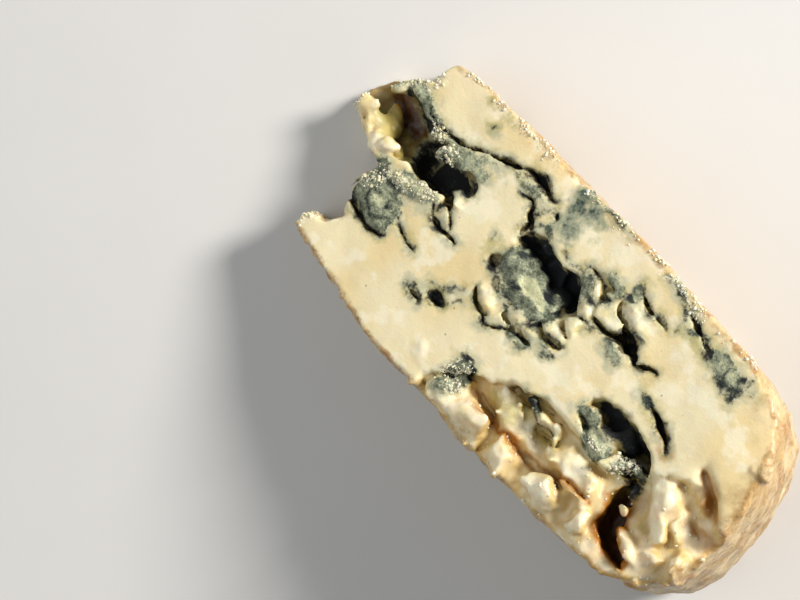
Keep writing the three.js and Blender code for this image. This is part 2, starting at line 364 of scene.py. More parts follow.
def pebbles(points, cell, small, large, seed):
    """Distance to a heap of balls: one ball in each cell of a cubic lattice, at a random
    place in it and of a random radius, so each point looks at 27 cells."""
    rng = np.random.default_rng(seed)
    places = rng.uniform(0, 1, (LATTICE ** 3, 3)).astype(np.float32)
    sizes = rng.uniform(small, large, LATTICE ** 3).astype(np.float32)
    scaled = points / np.float32(cell) + np.float32(LATTICE * 4)
    corner = np.floor(scaled).astype(np.int32)
    best = np.full(len(points), np.inf, np.float32)
    for number in range(27):
        step = np.array([number // 9, number // 3 % 3, number % 3], np.int32) - 1
        home = corner + step
        wrapped = home % LATTICE
        index = (wrapped[:, 0] * LATTICE + wrapped[:, 1]) * LATTICE + wrapped[:, 2]
        away = np.linalg.norm(scaled - home - places[index], axis=1) * cell
        best = np.minimum(best, away - sizes[index])
    return best


# ---- the cheese as a signed distance ---------------------------------------------
def on_face(points):
    """Places in the front cut face's frame: up the slope, Y, height above the face."""
    x, y, z = points.T
    z = z - APEX_HEIGHT
    sine, cosine = math.sin(CUT_ANGLE), math.cos(CUT_ANGLE)
    return np.stack([x * cosine + z * sine, y, z * cosine - x * sine], axis=1)


def bent_places(face):
    """The face's places bent by two sizes of noise, so that outlines wander."""
    return warp(warp(face, 3.6, 0.9, 21), 1.3, 0.4, 24)


def crack_half(width, share, uneven):
    """Half a crack's gap: widest in the middle of its length, swelling and pinching."""
    return width / 2 * (0.2 + 0.8 * np.sin(np.pi * share)) * (1 + 0.8 * uneven)


def wheel_distance(points):
    """Distance to the whole wheel: its section turned about its axis."""
    x, y, z = points.T
    return outline_distance(np.hypot(x - WHEEL_AXIS_X, z), y, WHEEL_SECTION)


def rough_block(points):
    """The wedge with no details: the wheel between the two cutting planes."""
    return np.maximum.reduce([wheel_distance(points), -points[:, 2], on_face(points)[:, 2]])


def shelf_share(face):
    """1 well inside the crumbled corner, 0 outside it, with a wandering edge."""
    wander = 0.9 * noise(face, 4, 41) + 0.5 * noise(face, 1.6, 42)
    return smoothstep(0.7, -0.7, outline_distance(face[:, 0], face[:, 1], SHELF_OUTLINE) + wander)


def rind_relief(points):
    """Height of the rind's bulges, slanting ridges and pits, and of its crusty edges."""
    x, y, z = points.T
    slant = np.stack([x * 0.3, y * 0.5 + z * 0.5, (y - z) * 1.6], axis=1)
    relief = (0.7 * noise(points, 14, 11) + 0.5 * noise(slant, 5, 12)
              + 0.28 * noise(points, 2.6, 13) + 0.12 * noise(points, 1.1, 14))
    edge = smoothstep(-4, -0.5, on_face(points)[:, 2])
    return relief + edge * (0.4 * noise(points, 1.5, 15) + 0.3 * noise(points, 0.8, 16))


def crumbled_body(points, face, wheel):
    """The wedge with its uneven cut face and its rind, and the crumbled corner sunk into
    it with loose bits heaped on its floor."""
    height = face[:, 2]
    shelf = shelf_share(face)
    cut = height - 0.4 * noise(face, 14, 31) - 0.14 * noise(face, 4, 32)
    cut = cut - 0.04 * noise(face, 1.2, 33)
    cut = cut + shelf * (SHELF_DEPTH + noise(face, 5, 34) + 0.5 * noise(face, 2.1, 35))
    body = smooth_max(smooth_max(wheel, cut, 0.9), -points[:, 2], 0.8)

    near = np.flatnonzero((shelf > 0.02) & (height > -FACE_DEPTH))
    loose = warp(face[near], 3, 0.7, 51)
    rise = noise(face[near], 5, 55)
    bits = np.maximum(pebbles(loose, 2.7, -1.2, 1, 56), height[near] + 1.4 - 1.8 * rise)
    bits = np.maximum(bits, wheel[near] - 0.3)
    body[near] = smooth_min(body[near], bits, 0.9)
    return body


def with_features(body, face, uneven):
    """The body with hollows cut in it, then chips, lumps and curd set on, then valleys
    and cracks cut in. Each feature changes only the points near its own place."""
    bent = bent_places(face)
    velvet = 0.4 * noise(face, 2, 72) + 0.25 * noise(face, 0.9, 73)

    def near(place, reach):
        return np.flatnonzero(np.all(np.abs(face - np.array(place, np.float32)) < reach, axis=1))

    def carve(features, blend, shift=(0, 0, 0), margin=2):
        for at, radii, turn in features:
            spot = near(at, max(radii) * 1.3 + margin)
            hole = ellipsoid_distance(bent[spot], np.subtract(at, shift), radii, turn)
            body[spot] = smooth_max(body[spot], -hole, blend)

    def build(features, blend, shape=ellipsoid_distance, roughness=0):
        for at, radii, turn in features:
            spot = near(at, max(radii) * 1.3 + 2)
            lump = shape(bent[spot], at, radii, turn) + roughness * velvet[spot]
            body[spot] = smooth_min(body[spot], lump, blend)

    carve(HOLLOWS, 0.7)
    carve(CHIPS, 0.5, shift=CHIP_GAP)
    build(LUMPS, 0.7, roughness=1)
    build(CHIPS, 0.5)
    build(CURDS, 0.8, shape=block_distance)
    carve(LOBE_VALLEYS + CURD_VALLEYS, 2.2, margin=3)
    for width, depth, line in CRACKS:
        middle = np.mean(line, axis=0)
        reach = np.abs(np.array(line) - middle).max() + width + 3
        spot = near((*middle, -depth / 2), reach)
        away, share = line_distance(bent[spot, 0], bent[spot, 1], line)
        taper = np.clip(1 + face[spot, 2] / depth, -1, 1)
        gap = crack_half(width, share, uneven[spot]) * taper - away
        body[spot] = smooth_max(body[spot], gap, 0.4)
    return body


def with_broken_tip(body, points):
    """The body cut off along the broken end's outline, made ragged by noise."""
    tip = np.flatnonzero(points[:, 0] < TIP_END)
    ragged = warp(warp(points[tip], 2.6, 0.8, 61), 1, 0.45, 64)
    outline = TIP_OUTLINE * (math.cos(CUT_ANGLE), 1)
    beyond = outline_distance(ragged[:, 0], ragged[:, 1], outline)
    body[tip] = smooth_max(body[tip], -beyond, 0.4)
    return body


def cheese_distance(points):
    """Signed distance to the finished surface, negative inside."""
    face = on_face(points)
    uneven = noise(face, 2.2, 71)
    wheel = wheel_distance(points) - rind_relief(points)
    body = with_features(crumbled_body(points, face, wheel), face, uneven)
    body = np.maximum(body, wheel - RIND_OVERHANG)
    body = smooth_max(body, face[:, 2] - LUMP_RISE - 0.4 * uneven, 0.9)
    return with_broken_tip(body, points)


# ---- from distances to a mesh ----------------------------------------------------
def grid_of_distances(low, high):
    """The signed distance on a grid. Points far from the surface keep the rough
    block's own distance; those near it or near the front face get every detail."""
    axes = [np.arange(a, b + VOXEL, VOXEL, dtype=np.float32) for a, b in zip(low, high)]
    points = np.stack(np.meshgrid(*axes, indexing="ij"), axis=-1).reshape(-1, 3)
    field = rough_block(points)
    height = on_face(points)[:, 2]
    open_side = (height > -FACE_DEPTH) | (points[:, 0] < TIP_END)
    detailed = np.flatnonzero((np.abs(field) < BAND) | ((field < BAND) & open_side))
    field[detailed] = cheese_distance(points[detailed])
    return field.reshape([len(a) for a in axes]), np.array([a[0] for a in axes])


def surface_net(field, origin):
    """The zero level as quads. Each grid cell that the surface passes through gets one
    vertex, the mean of the places where its edges cross zero, and each grid edge with a
    change of sign gets one quad that joins the four cells around it."""
    inside = field < 0
    corners = [(i, j, k) for i in (0, 1) for j in (0, 1) for k in (0, 1)]
    cells = np.array(field.shape) - 1

    def shifted(array, step):
        return array[tuple(slice(s, s + n) for s, n in zip(step, cells))]

    count = sum(shifted(inside, c).astype(np.int8) for c in corners)
    active = np.argwhere((count > 0) & (count < 8))
    values = [field[tuple((active + c).T)] for c in corners]
    total = np.zeros((len(active), 3), np.float32)
    crossings = np.zeros(len(active), np.float32)
    for a, start in enumerate(corners):
        for b, end in enumerate(corners):
            if a < b and sum(abs(s - e) for s, e in zip(start, end)) == 1:
                crosses = (values[a] < 0) != (values[b] < 0)
                share = np.where(crosses, values[a] / (values[a] - values[b] + 1e-12), 0)
                place = np.array(start) + share[:, None] * (np.array(end) - np.array(start))
                total += place * crosses[:, None]
                crossings += crosses
    vertices = origin + (active + total / crossings[:, None]) * VOXEL

    number = np.full(cells, -1, np.int64)
    number[tuple(active.T)] = np.arange(len(active))
    quads = []
    for axis in range(3):
        step = np.eye(3, dtype=int)[axis]
        ahead = np.roll(inside, -1, axis)
        edges = np.argwhere((inside != ahead)[tuple(slice(1, n) for n in cells)]) + 1
        side, up = np.eye(3, dtype=int)[[(axis + 1) % 3, (axis + 2) % 3]]
        around_edge = ((0, 0), (1, 0), (1, 1), (0, 1))
        ring = [number[tuple((edges - a * side - b * up).T)] for a, b in around_edge]
        quad = np.stack(ring, axis=1)
        outward = inside[tuple(edges.T)]
        quad[~outward] = quad[~outward][:, ::-1]
        quads.append(quad)
    return vertices, np.concatenate(quads)


def field_at(field, origin, points):
    """The grid's distance at any points: a blend of the eight corners of their cell."""
    place = (points - origin) / VOXEL
    corner = np.clip(np.floor(place).astype(int), 0, np.array(field.shape) - 2)
    share = np.clip(place - corner, 0, 1)
    total = np.zeros(len(points))
    for pick in range(8):
        step = np.array([pick >> 2 & 1, pick >> 1 & 1, pick & 1])
        weight = np.prod(np.where(step, share, 1 - share), axis=1)
        total += weight * field[tuple((corner + step).T)]
    return total


def shut_in(field, origin, points, normals):
    """How enclosed each point is, 0 in the open and 1 deep in a gap: how much nearer
    the surface is than it would be over a flat, at steps out along the normal."""
    shares = [1 - field_at(field, origin, points + normals * out) / out for out in OPEN_STEPS]
    return np.clip(np.mean(np.clip(shares, 0, 1), axis=0), 0, 1)


def relaxed(vertices, quads, share=0.5, rounds=2):
    """The vertices moved part of the way to the mean of their neighbours, which takes
    away the steps that the grid leaves on gentle slopes."""
    ends = np.concatenate([quads, np.roll(quads, 1, axis=1)]).ravel()
    others = np.concatenate([np.roll(quads, 1, axis=1), quads]).ravel()
    count = np.bincount(ends, minlength=len(vertices))
    for _ in range(rounds):
        sums = [np.bincount(ends, vertices[others, axis], len(vertices)) for axis in range(3)]
        means = [total / count for total in sums]
        vertices = vertices + share * (np.stack(means, axis=1) - vertices)
    return vertices


def largest_piece(vertices, quads):
    """Only the biggest connected piece: each vertex takes the lowest number among its
    quads' corners until nothing changes."""
    label = np.arange(len(vertices))
    while True:
        lowest = label[quads].min(axis=1)
        new = label.copy()
        for corner in quads.T:
            np.minimum.at(new, corner, lowest)
        new = new[new]
        if np.array_equal(new, label):
            break
        label = new
    biggest = np.bincount(label).argmax()
    kept = label == biggest
    renumber = np.cumsum(kept) - 1
    return vertices[kept], renumber[quads[kept[quads[:, 0]]]]


def mesh_from(name, vertices, faces):
    """A smooth Blender mesh from an array of vertices and one of faces, which all have
    the same number of corners."""
    mesh = bpy.data.meshes.new(name)
    corners = faces.shape[1]
    mesh.vertices.add(len(vertices))
    mesh.vertices.foreach_set("co", np.asarray(vertices, np.float32).ravel())
    mesh.loops.add(faces.size)
    mesh.loops.foreach_set("vertex_index", faces.astype(np.int32).ravel())
    mesh.polygons.add(len(faces))
    mesh.polygons.foreach_set("loop_start", np.arange(len(faces), dtype=np.int32) * corners)
    mesh.update(calc_edges=True)
    mesh.validate()
    mesh.polygons.foreach_set("use_smooth", np.ones(len(mesh.polygons), bool))
    return mesh


def points_of(mesh):
    flat = np.empty(len(mesh.vertices) * 3, np.float32)
    mesh.vertices.foreach_get("co", flat)
    return flat.reshape(-1, 3)


def thinned(mesh):
    """The mesh collapsed to the triangle limit."""
    thing = bpy.data.objects.new("thinning", mesh)
    bpy.context.scene.collection.objects.link(thing)
    collapse = thing.modifiers.new("collapse", "DECIMATE")
    collapse.ratio = MAX_TRIANGLES / (2 * len(mesh.polygons))
    collapsed = thing.evaluated_get(bpy.context.evaluated_depsgraph_get())
    ready = bpy.data.meshes.new_from_object(collapsed)
    bpy.data.objects.remove(thing)
    bpy.data.meshes.remove(mesh)
    return ready


def to_frame(points):
    """Drawing frame in mm to the frame's metres."""
    low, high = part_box("cheese_wedge")
    shift = np.array([low.x / MM - TIP_REACH, (low.y + high.y) / 2 / MM + SIDE_SHIFT, 0])
    return (points + shift) * MM


# ---- staining and painted shade, worked out for every vertex ---------------------
# Tones of mould: 0 blue-black, 0.5 grey-green, 1 pale grey. The gap mark below, given
# in place of a tone, makes a crack painted with brown shade instead of mould.
SHADE_GAP = -1.0
FAR = 9  # a distance, in mm, at which no stain shows

# The last two cracks get painted brown shade in place of mould.
CRACK_TONES = [0.3, 0.16, 0.22, 0.12, 0.2, 0.2, 0.1, 0.2, 0.2, 0.16, 0.02, 0.14, 0.4, 0.35,
               0.25, 0.2, SHADE_GAP, SHADE_GAP]

# Veins with no gap: width, tone, line on the face.
VEINS = [
    (0.6, 0.05, [(29.2, -5.4), (31, -8.6), (34.6, -9.6), (37.8, -7.2)]),
    (0.5, 0.1, [(31, -4.6), (33.4, -6.4), (36.6, -5.4)]),
    (0.7, 0.2, [(60, 14.8), (60.6, 16.6), (62, 17.4)]),
    (0.7, 0.2, [(79.6, 8.4), (81.2, 10.8), (83, 11)]),
    (0.6, 0.25, [(80.4, 6.8), (83.4, 6.6), (85.6, 5.6)]),
    (0.7, 0.3, [(86.8, 13), (90.4, 11.6), (94, 12.4)]),
    (0.6, 0.2, [(70, 14.4), (72.6, 13.4), (75, 13.8)]),
    (0.6, 0.3, [(94.6, 23.6), (97.4, 21.8), (98.4, 19.6)]),
    (0.6, 0.25, [(53.8, -10), (55.6, -9), (58, -9)]),
    (0.5, 0.2, [(60.6, -9.8), (62, -8.4)]),
    (0.7, 0.4, [(80.6, -3.8), (82.4, -2.4), (84.4, -2)]),
    (1.4, 0.8, [(31, 11.6), (34, 11.6), (38, 13.2), (43, 14.4), (47, 15.6)]),
    (1.3, 0.75, [(50, 17.2), (55, 18), (59, 17.6)]),
    (1.5, 0.3, [(60.8, 11), (61.4, 12.6), (63, 10.6)]),
    (1.4, 0.6, [(61.6, 13), (64, 13.6), (66.4, 12.6)]),
    (1.2, 0.3, [(85.6, -11), (87.4, -11.8), (90, -13.6)]),
    (1.3, 0.4, [(84.4, 15), (86.4, 15.8), (88, 17)]),
    (1.5, 0.35, [(80.8, 14.4), (82.9, 12.6), (84.8, 11.8)]),
    (1.6, 0.6, [(98, 18.6), (100.4, 20), (103.4, 21.4)]),
    (1.1, 0.1, [(103.6, 19.6), (105.6, 19)]),
    (0.9, 0.3, [(113.4, 17.2), (114.9, 19.4), (114.6, 21.4)]),
    (1.2, 0.3, [(113, 16.8), (110.4, 18)]),
    (0.8, 0.2, [(116.8, 19.6), (117.8, 20.4)]),
    (0.8, 0.4, [(57.4, -8), (60, -6.6)]),
    (0.8, 0.3, [(50.6, -14.4), (53, -13.4), (56, -14.4)]),
    (1.4, 0.5, [(28, -1.6), (31, -3), (36, -2.4)]),
    (0.8, 0.6, [(88, 24.8), (93, 24.6), (98, 23.6)]),
    (0.9, 0.5, [(64, 26), (70, 25.4), (77, 24.8)]),
    (0.8, 0.15, [(61.8, -5.4), (64.4, -7.2), (68.8, -7.6)]),
    (0.8, 0.5, [(69.6, -1.6), (72.4, -4.4), (76.6, -1.2)]),
    (0.7, 0.2, [(62.4, 1), (65, -1.6), (69.4, -1)]),
    (0.7, 0.3, [(84.6, 6.4), (87.4, 7.6), (90.4, 7.4)]),
    (0.6, 0.2, [(85.2, 20.2), (86, 21.2)]),
]

# Patches of mould, on the face and inside the hollows: place, radii, turn, tone.
# Blue-black tones on the hollows' floors and on the walls facing away from the light are partly the
# mould's own colour, partly painted shade.
PATCHES = [
    ((35.4, 6.6, -6), (9, 5, 6.4), -6, 0.02),
    ((43.5, 7.8, -2.4), (4, 3, 4), 10, 0.0),
    ((26, 12, -4.4), (7.6, 2, 4), -14, 0.14),
    ((25, 14.4, -0.4), (8.5, 1.7, 1.9), -14, 0.7),
    ((17, 13.6, -0.6), (4, 1.5, 2.4), 42, 0.75),
    ((21.6, 13.4, -1.6), (2.4, 1.3, 1.8), 0, 0.35),
    ((31.2, 12, -1), (2.4, 1.7, 2), -20, 0.7),
    ((36.2, 9.9, -1.2), (3.4, 2.4, 2.8), 24, 0.7),
    ((39.4, 11.4, -0.6), (3, 1.8, 2.2), -10, 0.85),
    ((33, -7, -0.4), (6.6, 4.7, 3.2), -14, 0.66),
    ((29, -2.4, -2), (3.6, 4, 3.4), 0, 0.6),
    ((37, 0.4, -0.4), (6.2, 2.4, 2.6), 12, 0.92),
    ((43, 12.4, 0.2), (4.6, 1.4, 1.4), -4, 0.9),
    ((44.6, 2.8, -1.6), (1.1, 3, 3), 0, 0.05),
    ((72.4, 8.2, -4.4), (6.6, 2.6, 3.8), -12, 0.03),
    ((75.8, 8.8, -3.2), (5.4, 2.7, 5), -35, 0.0),
    ((65.4, 10.4, -2.6), (5.4, 2.2, 4), 20, 0.02),
    ((66, 11.4, -1.6), (2.2, 1.2, 2.2), 20, 0.4),
    ((66.2, 4.6, -1.8), (6, 4.9, 5), -24, 0.6),
    ((72.4, 2.6, -1.8), (6.4, 4.4, 5), 4, 0.66),
    ((68.4, -0.2, -1), (4.2, 2, 3), 12, 0.5),
    ((91.8, 9.9, -2.4), (3.4, 1.9, 4), -6, 0.0),
    ((61, 1.8, 0), (1.9, 1.6, 1.8), 0, 0.12),
    ((77.8, 11.6, 0), (2.8, 2, 1.6), -30, 0.7),
    ((82.2, 15.6, 0), (2.8, 1.5, 1.6), -35, 0.75),
    ((87.2, 17.8, 0), (2.8, 1.3, 1.2), -30, 0.75),
    ((76, -5, 0), (3.6, 1.2, 1.2), 10, 0.65),
    ((81.4, -1.8, 0), (2.4, 1.1, 1), -10, 0.8),
    ((91.4, 6.9, 0), (3.4, 1.3, 1.4), -8, 0.9),
    ((72.6, -19.2, 0), (5, 2.3, 4.6), 80, 0.66),
    ((72.9, -15.6, 0), (2.4, 1.2, 1.6), -10, 0.1),
    ((88.2, -11.4, -1.6), (2, 1.3, 1.8), 0, 0.6),
    ((93, -13.9, -2.6), (2.8, 1.1, 2.2), 8, 0.3),
    ((104.4, -2.6, -3.6), (8.2, 2.6, 4.6), -6, 0.0),
    ((110, -4, -4), (3.8, 3.6, 4.8), 0, 0.02),
    ((101.8, -7.4, -1.2), (5, 2.4, 3), -10, 0.8),
    ((105.8, -3, -3.4), (2.3, 1.8, 2.6), 30, 0.7),
    ((97.4, -4.6, -0.6), (3, 1.8, 2.2), 0, 0.6),
    ((109.2, -6.2, -2.4), (2.6, 1.6, 2.8), 60, 0.88),
    ((111.6, -5.8, -2.6), (2.4, 1.8, 2.6), 0, 0.62),
    ((113, -9.4, -3.4), (1.7, 2.4, 3.6), -10, 0.1),
    ((103.6, 5.1, 0), (1.9, 1, 1), 0, 0.45),
    ((57.6, -11.7, -1), (2.9, 1.9, 2.6), 10, 0.3),
    ((58.8, -8, 0), (1.1, 0.7, 1), 30, 0.4),
    ((109.8, 19.6, 0), (5.4, 2.1, 1.4), -14, 0.78),
    ((114.2, 18.8, 0), (0.9, 2.2, 1.4), 14, 0.35),
    ((105.2, 20.2, 0), (1.2, 0.8, 1), 0, 0.15),
    ((92.6, 24.4, 0), (1.6, 1.1, 1.4), 0, 0.5),
    ((39.9, 20.7, 0), (0.6, 0.5, 0.5), 0, 0.2),
    ((57, 5.6, 0), (0.7, 0.5, 0.5), 0, 0.25),
    ((60.2, 4.6, 0), (0.6, 0.4, 0.5), 0, 0.25),
]

# Markings inside the patches.
MARKINGS = [
    ((70.8, 3.2, -0.2), (4.2, 1.8, 2.8), -10, 1.05),
    ((75.8, -0.9, -0.6), (0.9, 1.8, 1.6), -20, 0.0),
    ((64.6, 7.4, -0.6), (1.8, 1.1, 1.6), 40, 0.15),
    ((67.4, 1.4, 0), (1.6, 0.9, 2), 30, 0.2),
    ((73.6, 5.4, -1), (2.2, 0.7, 2), -20, 0.2),
    ((30.6, -5.6, 0), (1.6, 0.5, 2), -30, 0.3),
    ((34.8, -8.8, 0), (2, 0.5, 2), 10, 0.3),
    ((33.4, -6.4, 0), (1.6, 1, 2), 20, 0.95),
    ((111.4, 19, 0), (1.6, 0.7, 1), -10, 0.95),
]

# Teal-green mould, and olive staining and painted shade in the paste: place, radii, turn.
TEAL = [
    ((64, 24.6, 0), (1.5, 2, 1.6), 0), ((64.8, 21.4, 0), (1.3, 1.9, 1.4), 20),
    ((65.8, 19, 0), (1.6, 1.2, 1.2), 0), ((68.2, 22.8, 0), (2.4, 1, 1.4), -24),
    ((67, 21, 0), (1.8, 1, 1.2), 10), ((66.4, 17, 0), (1.9, 1.2, 1), 10),
]
# Olive: real staining on the face, and painted shade in the tip's hollow, in the gaps beside a chip, on
# the crumbled corner's sunk slab and between the lobes.
OLIVE_STAINS_AND_SHADE = [
    ((34.2, 24.6, 0), (1.8, 1.2, 1.2), 0), ((41, 24.2, 0), (2.4, 1.4, 1.2), -10),
    ((58.6, 4.2, 0), (3.4, 2.4, 1), 20), ((57.4, -11.6, 0), (4.4, 3, 1.6), 10),
    ((79.9, 3.6, -0.6), (1.3, 1, 1.4), 0), ((84, 5.6, -0.6), (1.4, 1, 1.4), 0),
    ((39.8, 20.4, 0), (2, 1.4, 1), 0), ((73, 19.6, 0), (1.4, 1, 1), 0),
    ((85.4, 20.8, 0), (1.2, 1.6, 1), 0), ((70.6, 22, 0), (1, 1.2, 1), 0),
    ((101.4, 18.8, 0), (5, 1.6, 1), -4), ((76.6, 1.6, 0), (1.4, 1, 1), 0),
    ((106.4, 20.6, 0), (3, 2, 1), -14), ((21, 5.8, -3.4), (9, 4.4, 5), -6),
    ((119.9, -11.4, -2), (2.6, 1.3, 2), -50), ((83.6, -16, -3), (6, 3, 2), 22),
    ((17.6, 6, -2.4), (7, 3.6, 3.4), -6), ((91.6, 10.6, 0), (1.4, 0.8, 1), 0),
]

# Painted brown shade at the bottoms of the deepest hollows, and a crack with a painted orange-brown glow,
# as if light shone through it.
NOOKS = [
    ((106, -2, -7), (10, 4, 3), -4), ((23.6, 9.8, -7), (10, 3.6, 4.6), -8),
    ((114.6, -14.8, -6.4), (7.4, 3.6, 5.4), -66), ((119.6, -19.2, -6), (4.4, 2.6, 4.6), -8),
]
GLOWING_CRACK = [((112, 2, -1), (3, 1.4, 3), -30)]

# White curd and crystals on the mould.
CRYSTALS = [
    ((34.4, -0.6, 0), (5, 2, 2.4), 12), ((39.4, 1.2, 0), (3, 2, 2.4), 12),
    ((36, 10, -0.6), (3.2, 2.2, 2.6), 24), ((31, 12, -0.4), (2.6, 1.6, 2), -20),
    ((18, 14.4, 0), (6, 1.6, 2.6), 38), ((28.4, -4, 0), (3, 3, 2.4), 0),
    ((109.2, -6.4, -2), (3, 2, 2.8), 40), ((72.6, -19, 0), (3, 4, 2), 0),
    ((102.6, -7.4, 0), (3, 1, 2.4), -8),
    ((12.8, 6, -1), (1.8, 5, 4), 10), ((23.4, 18.4, 0), (2.2, 3, 3), 0),
    ((24, -19, 0), (2, 4, 3), 0), ((90, 24.7, -0.4), (6, 0.9, 1.4), 0),
    ((98, 23.8, -0.4), (4, 0.8, 1.4), -8),
]


def nearest_blob(points, blobs):
    """Distance to the nearest of several ellipsoids."""
    return np.minimum.reduce([ellipsoid_distance(points, *blob) for blob in blobs])


def stains_and_shade(points):
    """What the material reads at each vertex: distances in mm to mould, teal, olive staining
    and shade, crystals, gaps painted with brown shade, valleys painted with a glow and the
    rind, the height above the face, the mould's tone, and from 0 to 1 how far out, how
    crumbly and how crusty the paste is."""
    face = on_face(points)
    bent = bent_places(face)
    uneven = noise(face, 2.2, 71)
    mould = np.full(len(points), FAR, np.float32)
    tone = np.full(len(points), 0.4, np.float32)
    # distance to the gaps painted with brown shade
    gap_shade = np.full(len(points), FAR, np.float32)
    outer = smoothstep(112, 124, face[:, 0] + 0.25 * face[:, 1])

    def spread(distance, shade, over=1.0):
        share = np.maximum(distance < mould, over * smoothstep(0.3, -0.4, distance))
        np.add(tone, share * (shade - tone), out=tone)
        np.minimum(mould, distance, out=mould)

    for at, radii, turn, shade in PATCHES:
        spread(ellipsoid_distance(bent, at, radii, turn), shade, 0)
    for (width, depth, line), shade in zip(CRACKS, CRACK_TONES):
        away, share = line_distance(bent[:, 0], bent[:, 1], line)
        half = crack_half(width, share, uneven)
        edge = np.maximum(away - half - 0.12, -face[:, 2] - depth - 1)
        # a crack marked for painted brown shade instead of mould
        if shade == SHADE_GAP:
            np.minimum(gap_shade, edge, out=gap_shade)
        else:
            spread(edge, shade)
    for width, shade, line in VEINS:
        away, share = line_distance(bent[:, 0], bent[:, 1], line)
        half = width / 2 * (0.4 + 0.6 * np.sin(np.pi * share)) * (1 + 0.5 * uneven)
        spread(np.maximum(away - half, -face[:, 2] - 1.6), shade)
    for at, radii, turn, shade in MARKINGS:
        spread(ellipsoid_distance(bent, at, radii, turn), shade)

    glow = nearest_blob(bent, LOBE_VALLEYS + GLOWING_CRACK)
    crust = smoothstep(1.6, 0.4, np.abs(face[:, 2])) * smoothstep(22.4, 24.6, points[:, 1])
    crust = crust * smoothstep(-0.3, 0.5, noise(points, 4, 81))
    return {
        "mould": mould,
        "tone": tone,
        "teal": nearest_blob(bent, TEAL),
        "olive": nearest_blob(bent, OLIVE_STAINS_AND_SHADE),
        "crystals": nearest_blob(bent, CRYSTALS),
        # painted brown shade: marked cracks and the bottoms of the deepest hollows
        "gap_shade": np.minimum(np.minimum(gap_shade, nearest_blob(bent, NOOKS)), FAR),
        "glow": np.minimum(glow, FAR),
        "rind": -wheel_distance(points),
        "outer": outer,
        "crumbly": shelf_share(face),
        "crust": crust,
        "height": face[:, 2],
    }


# ---- materials -------------------------------------------------------------------
class Graph:
    """Short ways to add and join the nodes of one material."""

    def __init__(self, name):
        self.material = bpy.data.materials.new(name)
        self.material.use_nodes = True
        self.tree = self.material.node_tree
        self.shader = self.tree.nodes["Principled BSDF"]
        self.place = self.tree.nodes.new("ShaderNodeTexCoord").outputs["Object"]

    def join(self, source, socket):
        if isinstance(source, bpy.types.NodeSocket):
            self.tree.links.new(source, socket)
        else:
            socket.default_value = source

    def attribute(self, name):
        node = self.tree.nodes.new("ShaderNodeAttribute")
        node.attribute_name = name
        return node.outputs["Fac"]

    def noise(self, size, detail=3.0, roughness=0.55, distortion=0.0):
        """Noise whose blobs are about `size` mm across."""
        node = self.tree.nodes.new("ShaderNodeTexNoise")
        self.join(self.place, node.inputs["Vector"])
        node.inputs["Scale"].default_value = 1 / (size * MM)
        node.inputs["Detail"].default_value = detail
        node.inputs["Roughness"].default_value = roughness
        node.inputs["Distortion"].default_value = distortion
        return node.outputs["Fac"]

    def cells(self, size):
        """Distance to the nearest of random points about `size` mm apart."""
        node = self.tree.nodes.new("ShaderNodeTexVoronoi")
        self.join(self.place, node.inputs["Vector"])
        node.inputs["Scale"].default_value = 1 / (size * MM)
        return node.outputs["Distance"]

    def maths(self, operation, a, b):
        node = self.tree.nodes.new("ShaderNodeMath")
        node.operation = operation
        self.join(a, node.inputs[0])
        self.join(b, node.inputs[1])
        return node.outputs[0]

    def times(self, *values):
        return functools.reduce(lambda a, b: self.maths("MULTIPLY", a, b), values)

    def plus(self, *values):
        return functools.reduce(lambda a, b: self.maths("ADD", a, b), values)

    def centred(self, value, height):
        """A noise from 0 to 1, made to swing by `height` either side of 0."""
        return self.times(self.maths("SUBTRACT", value, 0.5), 2 * height)

    def step(self, value, start, end):
        """0 at `start`, 1 at `end`, eased between them."""
        node = self.tree.nodes.new("ShaderNodeMapRange")
        node.interpolation_type = "SMOOTHSTEP"
        self.join(value, node.inputs["Value"])
        node.inputs["From Min"].default_value = min(start, end)
        node.inputs["From Max"].default_value = max(start, end)
        node.inputs["To Min"].default_value = 0.0 if start < end else 1.0
        node.inputs["To Max"].default_value = 1.0 if start < end else 0.0
        return node.outputs["Result"]

    def mix(self, share, a, b):
        node = self.tree.nodes.new("ShaderNodeMix")
        node.data_type = "RGBA"
        self.join(share, node.inputs["Factor"])
        self.join(a, node.inputs["A"])
        self.join(b, node.inputs["B"])
        return node.outputs["Result"]

    def lay(self, below, top, *shares):
        """One colour over another, as strongly as the product of the shares says."""
        return self.mix(self.times(*shares), below, top)

    def ramp(self, value, stops):
        """A colour that runs through the stops as the value goes from 0 to 1."""
        node = self.tree.nodes.new("ShaderNodeValToRGB")
        points = node.color_ramp.elements
        while len(points) < len(stops):
            points.new(0.5)
        for point, (place, colour) in zip(points, stops):
            point.position = place
            point.color = colour
        self.join(value, node.inputs["Fac"])
        return node.outputs["Color"]

    def bump(self, height, depth, below=None):
        """A bump of `depth` mm, on top of the bump `below`."""
        node = self.tree.nodes.new("ShaderNodeBump")
        node.inputs["Strength"].default_value = 1.0
        node.inputs["Distance"].default_value = depth * MM
        self.join(height, node.inputs["Height"])
        if below is not None:
            self.join(below, node.inputs["Normal"])
        return node.outputs["Normal"]


def linear(red, green, blue):
    """A colour given as it looks on a screen, 0 to 255, as the renderer's values."""
    share = np.array([red, green, blue]) / 255
    value = np.where(share > 0.04045, ((share + 0.055) / 1.055) ** 2.4, share / 12.92)
    return (*value.tolist(), 1.0)


CREAM = linear(240, 226, 184)
YELLOW_PASTE = linear(236, 214, 158)
WHITE_CURD = linear(247, 238, 208)
PINK_CURD = linear(242, 216, 186)
OLIVE_STAIN = linear(168, 158, 84)
